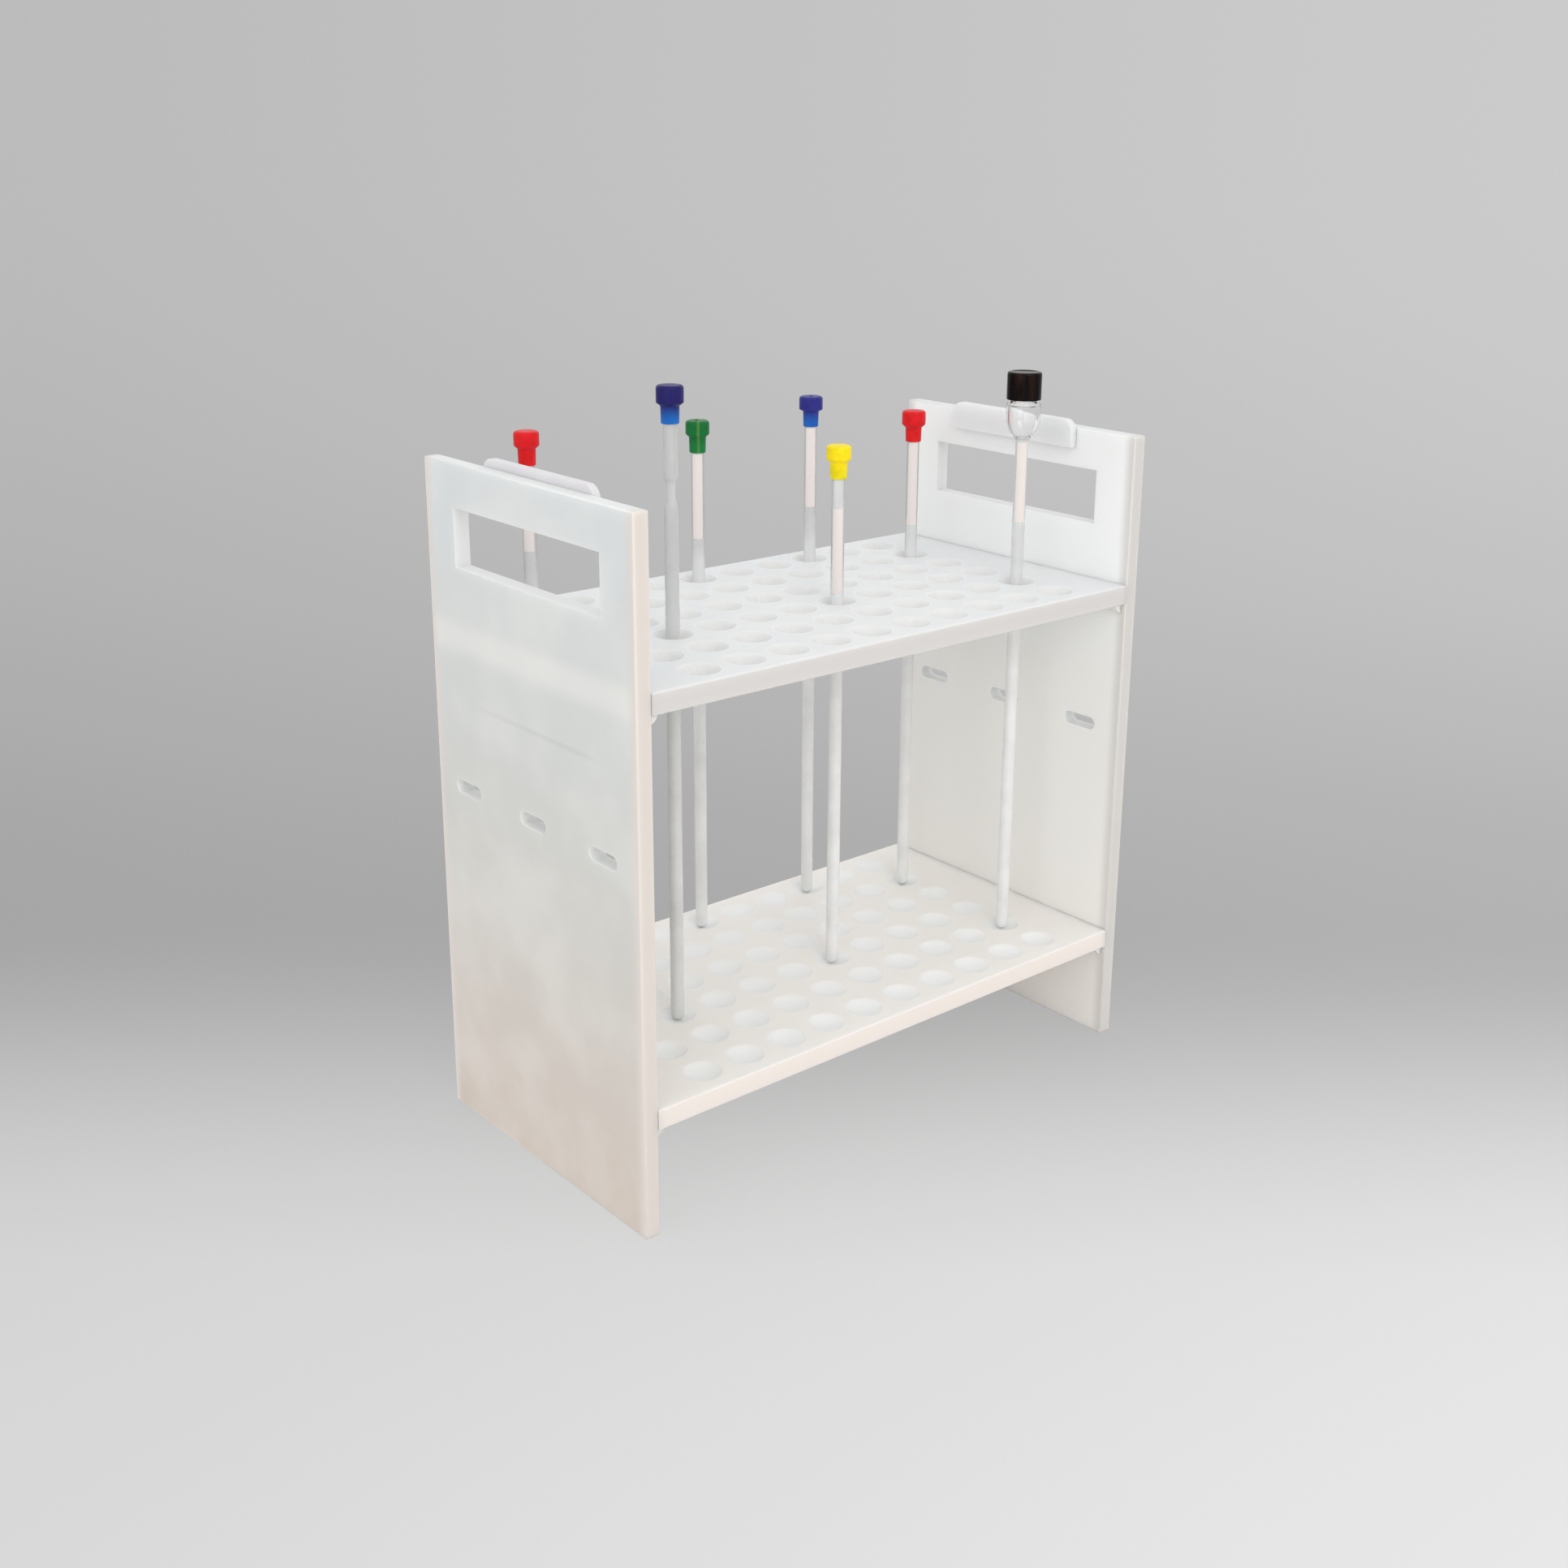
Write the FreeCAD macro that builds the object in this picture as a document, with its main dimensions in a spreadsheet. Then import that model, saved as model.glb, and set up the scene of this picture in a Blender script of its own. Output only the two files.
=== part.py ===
import FreeCAD, Part
import os

import Sketcher

# A two-deck rack of white polypropylene sheet that holds thin glass sample tubes upright.
# Two end panels carry two shelves. The upper shelf is bored and countersunk on a grid, and the
# lower shelf has a shallow dish under every bore, so a tube hangs plumb between the two.
# Frame: origin on the bench under the middle of the rack, +X to the right end panel,
# +Y to the back, +Z up. Millimetres.

SIZES = {
    # rack
    "rack_depth": 125.0,
    "rack_height": 251.0,
    "panel_thickness": 6.0,
    "shelf_length": 227.0,
    "shelf_thickness": 7.5,
    "upper_shelf_drop": 58.0,
    "lower_shelf_top": 47.2,
    "edge_break": 0.4,
    # grid of tube places, from the shelf's edges to the outermost holes
    "column_margin": 28.0,
    "column_count": 10,
    "row_margin": 12.5,
    "row_count": 6,
    "hole_clearance": 0.715,
    "mouth_diameter": 14.5,
    "mouth_angle": 90.0,
    "dish_diameter": 14.0,
    "dish_depth": 2.0,
    # openings in the end panels
    "hand_slot_margin": 18.5,
    "hand_slot_drop": 15.5,
    "hand_slot_height": 21.0,
    "side_slot_margin": 20.5,
    "side_slot_count": 3,
    "side_slot_drop": 60.0,
    "side_slot_length": 16.0,
    "side_slot_height": 5.0,
    # grip strips inside the panels' top edges
    "grip_thickness": 3.0,
    "grip_margin": 29.5,
    "grip_rise": 3.0,
    "grip_lap": 8.0,
    "grip_corner": 5.0,
    # welding rod laid in the corners under the shelves
    "weld_radius": 3.5,
    "weld_margin": 2.0,
    # glass tubes
    "tube_diameter": 4.97,
    "tube_wall": 0.38,
    "left_red_glass": 208.9,
    "tall_blue_glass": 230.2,
    "green_glass": 205.7,
    "yellow_glass": 202.3,
    "short_blue_glass": 210.2,
    "right_red_glass": 203.5,
    "waist_level": 197.6,
    "waist_length": 10.9,
    "waist_depth": 0.92,
    # push-on caps
    "cap_clearance": 0.055,
    "cap_roof": 3.9,
    "cap_rounding": 1.1,
    "plain_cap_length": 12.2,
    "plain_cap_head": 5.1,
    "plain_cap_lip": 1.45,
    "plain_cap_skirt_wall": 0.56,
    "plain_cap_chamfer": 1.2,
    "flared_cap_length": 12.5,
    "flared_cap_head": 5.5,
    "flared_cap_lip": 1.65,
    "flared_cap_skirt_wall": 0.6,
    "flared_cap_chamfer": 1.4,
    "short_cap_length": 12.0,
    "short_cap_head": 5.2,
    "short_cap_lip": 1.7,
    "short_cap_skirt_wall": 0.45,
    "short_cap_chamfer": 0.8,
    "tall_cap_length": 12.9,
    "tall_cap_head": 5.9,
    "tall_cap_lip": 1.6,
    "tall_cap_skirt_wall": 0.56,
    "tall_cap_chamfer": 1.1,
    "skirt_draft": 0.15,
    # screw-neck tube with its liner and cap
    "stem_length": 203.4,
    "ring_radius": 3.3,
    "ring_height": 1.4,
    "shoulder_height": 6.6,
    "head_radius": 6.6,
    "head_straight": 6.2,
    "head_wall": 1.4,
    "finish_radius": 5.5,
    "finish_wall": 1.2,
    "finish_height": 8.8,
    "liner_thickness": 1.4,
    "liner_inset": 0.1,
    "screw_clearance": 0.06,
    "screw_cap_wall": 1.04,
    "screw_cap_roof": 1.5,
    "screw_cap_height": 10.5,
    "screw_cap_rounding": 0.9,
}


class Length:
    """A size as a number for the first sketch and as the sheet expression that drives it."""

    def __init__(self, value, text):
        self.value = float(value)
        self.text = text

    def _join(self, other, sign, value):
        other = as_length(other)
        return Length(value(self.value, other.value), f"({self.text} {sign} {other.text})")

    def __add__(self, other):
        return self._join(other, "+", lambda a, b: a + b)

    def __sub__(self, other):
        return self._join(other, "-", lambda a, b: a - b)

    def __mul__(self, other):
        return self._join(other, "*", lambda a, b: a * b)

    def __truediv__(self, other):
        return self._join(other, "/", lambda a, b: a / b)

    def __neg__(self):
        return Length(-self.value, f"(-1 * {self.text})")


def as_length(value):
    return value if isinstance(value, Length) else Length(value, repr(float(value)))


doc = FreeCAD.newDocument("tube_rack")
sheet = doc.addObject("Spreadsheet::Sheet", "Sizes")
for row, (alias, number) in enumerate(SIZES.items(), start=1):
    sheet.set(f"A{row}", alias)
    sheet.set(f"B{row}", str(number))
    sheet.setAlias(f"B{row}", alias)
doc.recompute()


def size(alias):
    return Length(sheet.get(alias), f"Sizes.{alias}")


ZERO = as_length(0)

# places that several pieces share
half_depth = size("rack_depth") / 2
half_shelf = size("shelf_length") / 2
upper_shelf_top = size("rack_height") - size("upper_shelf_drop")
lower_shelf_top = size("lower_shelf_top")
column_span = size("shelf_length") - size("column_margin") * 2
row_span = size("rack_depth") - size("row_margin") * 2
column_pitch = column_span / (size("column_count") - 1)
row_pitch = row_span / (size("row_count") - 1)
tube_radius = size("tube_diameter") / 2
tube_bore = tube_radius - size("tube_wall")
foot_level = lower_shelf_top - size("dish_depth")
cap_bore = tube_radius + size("cap_clearance")

bodies = []


def column_x(column):
    """Column 1 is at the left end; -1 is the last one, at the right end."""
    if column > 0:
        return column_pitch * (column - 1) - column_span / 2
    return column_span / 2 + column_pitch * (column + 1)


def row_y(row):
    """Row 1 is at the back; -1 is the last one, at the front."""
    if row > 0:
        return row_span / 2 - row_pitch * (row - 1)
    return -row_span / 2 - row_pitch * (row + 1)


def new_body(label, x=ZERO, y=ZERO, z=ZERO, turn=0):
    body = doc.addObject("PartDesign::Body", label)
    body.Label = label
    body.Placement = FreeCAD.Placement(
        FreeCAD.Vector(x.value, y.value, z.value),
        FreeCAD.Rotation(FreeCAD.Vector(0, 0, 1), turn),
    )
    for axis, place in (("x", x), ("y", y), ("z", z)):
        body.setExpression(f"Placement.Base.{axis}", place.text)
    bodies.append(body)
    return body


def datum(body, role):
    """An origin plane or axis of the body, by its role."""
    return next(feature for feature in body.Origin.OriginFeatures if feature.Role == role)


def attach(feature, body, role):
    feature.AttachmentSupport = (datum(body, role), [""])
    feature.MapMode = "FlatFace"


def drive(feature, **sizes):
    for name, length in sizes.items():
        feature.setExpression(name, length.text)


def vector(x, y):
    return FreeCAD.Vector(x, y, 0)


def arc_centre(start, end, centre_x):
    """The centre on the line x = centre_x that is as far from start as from end."""
    rise = end.y - start.y
    run = end.x - start.x
    middle = (start + end) / 2
    return vector(centre_x, middle.y - (centre_x - middle.x) * run / rise)


def closed_profile(body, name, role, corners):
    """A closed sketch whose corners are driven by the sheet.

    A corner is (x, y), and its side to the next corner is straight, or
    (x, y, centre_x, turn), and that side is an arc, turning left for +1 and right for -1.
    """
    sketch = body.newObject("Sketcher::SketchObject", name)
    attach(sketch, body, role)
    points = [vector(corner[0].value, corner[1].value) for corner in corners]
    ends = []
    for index, corner in enumerate(corners):
        start = points[index]
        end = points[(index + 1) % len(points)]
        if len(corner) == 2:
            sketch.addGeometry(Part.LineSegment(start, end))
            ends.append((1, 2))
            continue
        centre = arc_centre(start, end, corner[2].value)
        circle = Part.Circle(centre, FreeCAD.Vector(0, 0, 1), (start - centre).Length)
        first, last = (start, end) if corner[3] > 0 else (end, start)
        from_angle = circle.parameter(first)
        to_angle = circle.parameter(last)
        if to_angle <= from_angle:
            to_angle += circle.LastParameter
        sketch.addGeometry(Part.ArcOfCircle(circle, from_angle, to_angle))
        ends.append((1, 2) if corner[3] > 0 else (2, 1))
    for index, corner in enumerate(corners):
        following = (index + 1) % len(corners)
        sketch.addConstraint(
            Sketcher.Constraint("Coincident", index, ends[index][1], following, ends[following][0])
        )
        pin(sketch, "DistanceX", index, ends[index][0], corner[0])
        pin(sketch, "DistanceY", index, ends[index][0], corner[1])
        if len(corner) > 2:
            pin(sketch, "DistanceX", index, 3, corner[2])
    return sketch


def pin(sketch, kind, geometry, point, length):
    """Hold one coordinate of a point, measured from the sketch's origin."""
    index = sketch.addConstraint(Sketcher.Constraint(kind, -1, 1, geometry, point, length.value))
    sketch.setExpression(f"Constraints[{index}]", length.text)


def rectangle(body, name, role, low, high):
    corners = [(low[0], low[1]), (high[0], low[1]), (high[0], high[1]), (low[0], high[1])]
    return closed_profile(body, name, role, corners)


def pad(body, sketch, length, symmetric=False):
    feature = body.newObject("PartDesign::Pad", "Pad")
    feature.Profile = sketch
    feature.SideType = "Symmetric" if symmetric else "One side"
    drive(feature, Length=length)
    doc.recompute()
    return feature


def pocket_through(body, sketch):
    """A cut right through, on the side that the sketch's normal points to."""
    feature = body.newObject("PartDesign::Pocket", "Pocket")
    feature.Profile = sketch
    feature.Type = "ThroughAll"
    feature.Reversed = True
    doc.recompute()
    return feature


def revolve(body, sketch):
    feature = body.newObject("PartDesign::Revolution", "Revolution")
    feature.Profile = sketch
    feature.ReferenceAxis = (sketch, ["V_Axis"])
    feature.Angle = 360
    doc.recompute()
    return feature


def dress(body, kind, base, wanted, **sizes):
    """A fillet or chamfer on the edges of the base that are wanted."""
    edges = [f"Edge{i}" for i, edge in enumerate(base.Shape.Edges, start=1) if wanted(edge)]
    feature = body.newObject(kind, kind.split("::")[1])
    feature.Base = (base, edges)
    drive(feature, **sizes)
    doc.recompute()
    return feature


def repeat(body, feature, span, count, span_2=None, count_2=None):
    """Copies of a feature along X, or along Y, or over a grid of X and Y."""
    pattern = body.newObject("PartDesign::LinearPattern", "Pattern")
    pattern.Originals = [feature]
    pattern.Direction = (datum(body, "X_Axis" if span_2 else "Y_Axis"), [""])
    pattern.Mode = "Extent"
    drive(pattern, Length=span, Occurrences=count)
    if span_2:
        pattern.Direction2 = (datum(body, "Y_Axis"), [""])
        pattern.Mode2 = "Extent"
        drive(pattern, Length2=span_2, Occurrences2=count_2)
    body.Tip = pattern
    doc.recompute()
    return pattern


def end_panel(label, left_face):
    """A sheet with a hand slot near its top and three short slots at half height."""
    body = new_body(label, x=left_face)
    height = size("rack_height")
    outline = rectangle(body, "Outline", "YZ_Plane", (-half_depth, ZERO), (half_depth, height))
    sheet_pad = pad(body, outline, size("panel_thickness"))
    dress(body, "PartDesign::Chamfer", sheet_pad, lambda edge: True, Size=size("edge_break"))

    slot_half = half_depth - size("hand_slot_margin")
    slot_top = height - size("hand_slot_drop")
    slot_low = slot_top - size("hand_slot_height")
    hand_slot = rectangle(body, "HandSlot", "YZ_Plane", (-slot_half, slot_low), (slot_half, slot_top))
    pocket_through(body, hand_slot)

    span = size("rack_depth") - size("side_slot_margin") * 2
    middle = upper_shelf_top - size("side_slot_drop")
    rounding = size("side_slot_height") / 2
    reach = size("side_slot_length") / 2 - rounding
    near = -span / 2 - reach
    far = -span / 2 + reach
    side_slot = closed_profile(body, "SideSlot", "YZ_Plane", [
        (near, middle - rounding),
        (far, middle - rounding, far, 1),
        (far, middle + rounding),
        (near, middle + rounding, near, 1),
    ])
    cut = pocket_through(body, side_slot)
    repeat(body, cut, span, size("side_slot_count"))


def shelf_blank(label, top):
    """A shelf without holes, with its four long edges broken."""
    body = new_body(label, z=top - size("shelf_thickness"))
    outline = rectangle(body, "Outline", "XY_Plane", (-half_shelf, -half_depth), (half_shelf, half_depth))
    blank = pad(body, outline, size("shelf_thickness"))
    dress(body, "PartDesign::Chamfer", blank, runs_along_x, Size=size("edge_break"))
    return body


def runs_along_x(edge):
    box = edge.BoundBox
    return box.XLength > box.YLength + box.ZLength


def upper_shelf():
    """Snug bores with wide countersunk mouths, one for each tube."""
    body = shelf_blank("upper_shelf", upper_shelf_top)
    bore = tube_radius + size("hole_clearance")
    places = body.newObject("Sketcher::SketchObject", "FirstHole")
    attach(places, body, "XY_Plane")
    drive(places, **{"AttachmentOffset.Base.z": size("shelf_thickness")})
    first = vector(column_x(1).value, row_y(-1).value)
    places.addGeometry(Part.Circle(first, FreeCAD.Vector(0, 0, 1), bore.value))
    pin(places, "DistanceX", 0, 3, column_x(1))
    pin(places, "DistanceY", 0, 3, row_y(-1))
    radius = places.addConstraint(Sketcher.Constraint("Radius", 0, bore.value))
    places.setExpression(f"Constraints[{radius}]", bore.text)
    doc.recompute()
    hole = body.newObject("PartDesign::Hole", "TubeHole")
    hole.Profile = places
    doc.recompute()
    hole.DepthType = "ThroughAll"
    hole.HoleCutType = "Countersink"
    hole.HoleCutCustomValues = True
    drive(
        hole,
        Diameter=bore * 2,
        HoleCutDiameter=size("mouth_diameter"),
        HoleCutCountersinkAngle=size("mouth_angle"),
    )
    doc.recompute()
    repeat(body, hole, column_span, size("column_count"), row_span, size("row_count"))


def lower_shelf():
    """Shallow round dishes that centre the tubes' feet."""
    body = shelf_blank("lower_shelf", lower_shelf_top)
    half_dish = size("dish_diameter") / 2
    depth = size("dish_depth")
    ball = (half_dish * half_dish + depth * depth) / (depth * 2)
    dish = body.newObject("PartDesign::SubtractiveSphere", "Dish")
    attach(dish, body, "XY_Plane")
    drive(dish, Radius=ball, **{
        "AttachmentOffset.Base.x": column_x(1),
        "AttachmentOffset.Base.y": row_y(-1),
        "AttachmentOffset.Base.z": size("shelf_thickness") - depth + ball,
    })
    doc.recompute()
    repeat(body, dish, column_span, size("column_count"), row_span, size("row_count"))


def grip_strip(label, left_face):
    """A strip welded inside a panel's top edge, standing a little proud of it."""
    body = new_body(label, x=left_face, z=size("rack_height") - size("grip_lap"))
    half = half_depth - size("grip_margin")
    tall = size("grip_lap") + size("grip_rise")
    outline = rectangle(body, "Outline", "YZ_Plane", (-half, ZERO), (half, tall))
    strip = pad(body, outline, size("grip_thickness"))
    top = strip.Shape.BoundBox.ZMax

    def is_top_corner(edge):
        return runs_along_x(edge) and abs(edge.BoundBox.ZMax - top) < size("edge_break").value

    dress(body, "PartDesign::Fillet", strip, is_top_corner, Radius=size("grip_corner"))


def weld_bead(label, side, shelf_top):
    """A quarter-round bead in the corner between a panel and a shelf's underside."""
    body = new_body(label, x=half_shelf * side, z=shelf_top - size("shelf_thickness"),
                    turn=0 if side < 0 else 180)
    radius = size("weld_radius")
    section = closed_profile(body, "Section", "XZ_Plane", [
        (ZERO, ZERO),
        (ZERO, -radius, ZERO, 1),
        (radius, ZERO),
    ])
    pad(body, section, size("rack_depth") - size("weld_margin") * 2, symmetric=True)


def tube_body(label, column, row):
    return new_body(label, x=column_x(column), y=row_y(row), z=foot_level)


def foot_corners():
    """The round closed end: the outside from the axis, and the inside back to it."""
    outside = [(ZERO, ZERO, ZERO, 1), (tube_radius, tube_radius)]
    inside = [(tube_bore, tube_radius, ZERO, -1), (ZERO, size("tube_wall"))]
    return outside, inside


def straight_tube(label, column, row, glass):
    body = tube_body(label, column, row)
    outside, inside = foot_corners()
    rim = [(tube_radius, glass), (tube_bore, glass)]
    revolve(body, closed_profile(body, "Section", "XZ_Plane", outside + rim + inside))


def waisted_tube(label, column, row, glass):
    """A tube drawn in below its cap, where it is sealed off with a flame."""
    body = tube_body(label, column, row)
    outside, inside = foot_corners()
    half = size("waist_length") / 2
    dip = size("waist_depth")
    low = size("waist_level") - half
    high = size("waist_level") + half
    sweep = (half * half + dip * dip) / (dip * 2)
    outer_centre = tube_radius - dip + sweep
    inner_centre = tube_bore - dip + sweep
    walls = [
        (tube_radius, low, outer_centre, -1),
        (tube_radius, high),
        (tube_radius, glass),
        (tube_bore, glass),
        (tube_bore, high, inner_centre, 1),
        (tube_bore, low),
    ]
    revolve(body, closed_profile(body, "Section", "XZ_Plane", outside + walls + inside))


def push_cap(label, column, row, glass, style):
    """A moulded cap: a wide head with a rounded top over a slim skirt that grips the glass."""
    length = size(f"{style}_cap_length")
    body = new_body(label, x=column_x(column), y=row_y(row),
                    z=foot_level + glass + size("cap_roof") - length)
    skirt_end = cap_bore + size(f"{style}_cap_skirt_wall")
    skirt_top = skirt_end + size("skirt_draft")
    head = skirt_end + size(f"{style}_cap_lip")
    head_low = length - size(f"{style}_cap_head")
    rounding = size("cap_rounding")
    revolve(body, closed_profile(body, "Section", "XZ_Plane", [
        (cap_bore, ZERO),
        (skirt_end, ZERO),
        (skirt_top, head_low - size(f"{style}_cap_chamfer")),
        (head, head_low),
        (head, length - rounding, head - rounding, 1),
        (head - rounding, length),
        (ZERO, length),
        (ZERO, length - size("cap_roof")),
        (cap_bore, length - size("cap_roof")),
    ]))


def bowl_centre(low_radius, high_radius, rise):
    """Where the axis of an arc stands that climbs from one radius and ends upright at the other."""
    return (high_radius * high_radius - low_radius * low_radius - rise * rise) / (
        (high_radius - low_radius) * 2
    )


def screw_neck_tube(label, column, row):
    """A thin stem with a fused ring, a blown shoulder, and a wide head with a cap finish."""
    body = tube_body(label, column, row)
    outside, inside = foot_corners()
    ring_low = size("stem_length")
    ring_top = ring_low + size("ring_height")
    shoulder_top = ring_top + size("shoulder_height")
    head_top = shoulder_top + size("head_straight")
    rim = head_top + size("finish_height")
    head = size("head_radius")
    head_bore = head - size("head_wall")
    finish = size("finish_radius")
    mouth = finish - size("finish_wall")
    rise = size("shoulder_height")
    outer_bowl = bowl_centre(size("ring_radius"), head, rise)
    inner_bowl = bowl_centre(tube_bore, head_bore, rise)
    revolve(body, closed_profile(body, "Section", "XZ_Plane", outside + [
        (tube_radius, ring_low),
        (size("ring_radius"), ring_low + size("ring_height") / 2),
        (size("ring_radius"), ring_top, outer_bowl, 1),
        (head, shoulder_top),
        (head, head_top),
        (finish, head_top),
        (finish, rim),
        (mouth, rim),
        (mouth, head_top),
        (head_bore, head_top - size("head_wall")),
        (head_bore, shoulder_top, inner_bowl, -1),
        (tube_bore, ring_top),
    ] + inside))
    return rim


def liner_disc(label, column, row, rim):
    """The seal between the glass rim and the cap's roof."""
    body = new_body(label, x=column_x(column), y=row_y(row), z=foot_level + rim)
    edge = size("finish_radius") - size("liner_inset")
    disc = rectangle(body, "Section", "XZ_Plane", (ZERO, ZERO), (edge, size("liner_thickness")))
    revolve(body, disc)


def screw_cap(label, column, row, rim):
    """A deep cap whose roof presses the liner on the glass rim."""
    height = size("screw_cap_height")
    roof = height - size("screw_cap_roof")
    body = new_body(label, x=column_x(column), y=row_y(row),
                    z=foot_level + rim + size("liner_thickness") - roof)
    bore = size("finish_radius") + size("screw_clearance")
    outside = bore + size("screw_cap_wall")
    rounding = size("screw_cap_rounding")
    revolve(body, closed_profile(body, "Section", "XZ_Plane", [
        (bore, ZERO),
        (outside, ZERO),
        (outside, height - rounding, outside - rounding, 1),
        (outside - rounding, height),
        (ZERO, height),
        (ZERO, roof),
        (bore, roof),
    ]))


end_panel("left_end_panel", -half_shelf - size("panel_thickness"))
end_panel("right_end_panel", half_shelf)
upper_shelf()
lower_shelf()
grip_strip("left_grip_strip", -half_shelf)
grip_strip("right_grip_strip", half_shelf - size("grip_thickness"))
for deck, deck_top in (("upper", upper_shelf_top), ("lower", lower_shelf_top)):
    weld_bead(f"{deck}_left_weld", -1, deck_top)
    weld_bead(f"{deck}_right_weld", 1, deck_top)

straight_tube("left_red_tube", 1, 1, size("left_red_glass"))
waisted_tube("tall_blue_tube", 2, -3, size("tall_blue_glass"))
straight_tube("green_tube", 5, 1, size("green_glass"))
straight_tube("yellow_tube", -5, -3, size("yellow_glass"))
straight_tube("short_blue_tube", -3, 1, size("short_blue_glass"))
straight_tube("right_red_tube", -1, 2, size("right_red_glass"))
push_cap("left_red_cap", 1, 1, size("left_red_glass"), "plain")
push_cap("tall_blue_cap", 2, -3, size("tall_blue_glass"), "tall")
push_cap("green_cap", 5, 1, size("green_glass"), "plain")
push_cap("yellow_cap", -5, -3, size("yellow_glass"), "plain")
push_cap("short_blue_cap", -3, 1, size("short_blue_glass"), "short")
push_cap("right_red_cap", -1, 2, size("right_red_glass"), "flared")

glass_rim = screw_neck_tube("screw_neck_tube", -1, -2)
liner_disc("screw_cap_liner", -1, -2, glass_rim)
screw_cap("screw_cap", -1, -2, glass_rim)
doc.recompute()

for item in doc.Objects:
    if "Invalid" in item.State or "Error" in item.State:
        raise RuntimeError(f"{item.Label} failed: {item.State}")
for body in bodies:
    if body.Shape.isNull() or not body.Shape.isValid() or not body.Shape.Solids:
        raise RuntimeError(f"{body.Label} has no sound shape")

os.makedirs("parts", exist_ok=True)
for body in bodies:
    body.Shape.exportStep(f"parts/{body.Label}.step")
    box = body.Shape.BoundBox
    print(f"{body.Label}: {len(body.Shape.Solids)} solid, {body.Shape.Volume:.1f} mm3, "
          f"x {box.XMin:.2f}..{box.XMax:.2f}, y {box.YMin:.2f}..{box.YMax:.2f}, "
          f"z {box.ZMin:.2f}..{box.ZMax:.2f}")
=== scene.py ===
import math

import bmesh
import bpy
from mathutils import Matrix, Vector


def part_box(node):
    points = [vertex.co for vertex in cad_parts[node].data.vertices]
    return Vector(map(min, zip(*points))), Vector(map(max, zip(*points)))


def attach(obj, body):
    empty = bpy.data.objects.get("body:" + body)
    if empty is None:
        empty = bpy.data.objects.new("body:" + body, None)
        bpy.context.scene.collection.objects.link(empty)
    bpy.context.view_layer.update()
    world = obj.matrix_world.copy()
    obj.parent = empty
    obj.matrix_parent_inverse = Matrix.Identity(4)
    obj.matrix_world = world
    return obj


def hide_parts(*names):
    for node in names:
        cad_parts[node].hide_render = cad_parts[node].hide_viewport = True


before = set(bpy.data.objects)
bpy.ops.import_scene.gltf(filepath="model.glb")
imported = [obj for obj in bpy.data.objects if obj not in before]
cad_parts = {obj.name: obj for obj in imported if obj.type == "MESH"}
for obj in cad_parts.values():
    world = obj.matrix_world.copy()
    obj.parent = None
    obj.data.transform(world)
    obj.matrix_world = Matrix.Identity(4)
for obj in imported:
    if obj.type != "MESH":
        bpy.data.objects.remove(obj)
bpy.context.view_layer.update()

MM = 0.001

# A tube rack of natural polypropylene sheet with seven glass sample tubes in it.
# The rack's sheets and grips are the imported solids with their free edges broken. Glass, caps,
# liner and welding rods are turned or drawn again with the detail that the solids leave out.


# Nodes and materials

def hex_colour(text):
    """An sRGB hex value as the linear colour that a socket takes."""
    channels = [int(text[i:i + 2], 16) / 255 for i in (1, 3, 5)]
    linear = [c / 12.92 if c <= 0.04045 else ((c + 0.055) / 1.055) ** 2.4 for c in channels]
    return (*linear, 1.0)


def add_node(tree, kind, inputs=None, out=0, **settings):
    """An output of a new node, or all of them where out is None.

    inputs are a list for the first sockets or a dict by socket. Each is a value, or another
    node's output to link.
    """
    node = tree.nodes.new("ShaderNode" + kind)
    for name, value in settings.items():
        setattr(node, name, value)
    given = inputs if isinstance(inputs, dict) else dict(enumerate(inputs or ()))
    for socket, value in given.items():
        if isinstance(value, bpy.types.NodeSocket):
            tree.links.new(value, node.inputs[socket])
        else:
            node.inputs[socket].default_value = value
    return node.outputs if out is None else node.outputs[out]


# a Mix node for colours: its settings, its sockets and its output
COLOURS = dict(data_type="RGBA", out=2)
FACTOR, LOW, HIGH = 0, 6, 7
SMOOTH = dict(interpolation_type="SMOOTHSTEP")
# nearly all of a noise's values lie between these
NOISE_SPAN = (0.3, 0.7)


def start_material(name):
    """A new material with its empty tree, and a point's place and the way its face looks."""
    material = bpy.data.materials.new(name)
    material.use_nodes = True
    tree = material.node_tree
    tree.nodes.clear()
    place = add_node(tree, "TexCoord", out=None)
    return material, tree, place["Object"], place["Normal"]


def end_material(tree, shader):
    """Make the shader the material's surface."""
    add_node(tree, "OutputMaterial", {"Surface": shader}, out=None)


PITCH = Vector((19.0, 20.0, 0.0)) * MM
FIRST_HOLE = Vector((-85.5, -50.0, 0.0)) * MM
GRID_END = 95 * MM
FRONT_EDGE = 62.5 * MM
# the front faces' colour, with its painted light and shade, begins this far behind them
FRONT_DEPTH = 6 * MM
# a faint darker line: its level, how far it blurs from its middle, and where it fades out in depth
DARK_LINE_LEVEL = 166 * MM
DARK_LINE_BLUR = (1.4 * MM, 0.1 * MM)
DARK_LINE_FRONT = (50 * MM, -5 * MM)
DARK_LINE_BACK = (-50 * MM, -25 * MM)
DARK_LINE_AMOUNT = 0.3
# how far from its middle the painted paler band of a joint fades, and how much it covers
JOINT_BLUR = (9 * MM, 1.5 * MM)
JOINT_AMOUNT = 0.4
# the saw's marks repeat at this step, and a Wave texture draws 20 bands a metre at scale 1
SAW_STEP = 1.3 * MM
WAVE_BANDS = 20
# how much the saw's marks add to the sheet's fine grain, and the depth of both
SAW_SHARE = 0.4
SHEET_RELIEF = 0.05 * MM
# how much of the light goes into the sheet, and how deep
SHEET_SCATTER, SHEET_DEPTH = 0.6, 5 * MM
TUBE, BORE, WALL = 2.485, 2.105, 0.38
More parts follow.
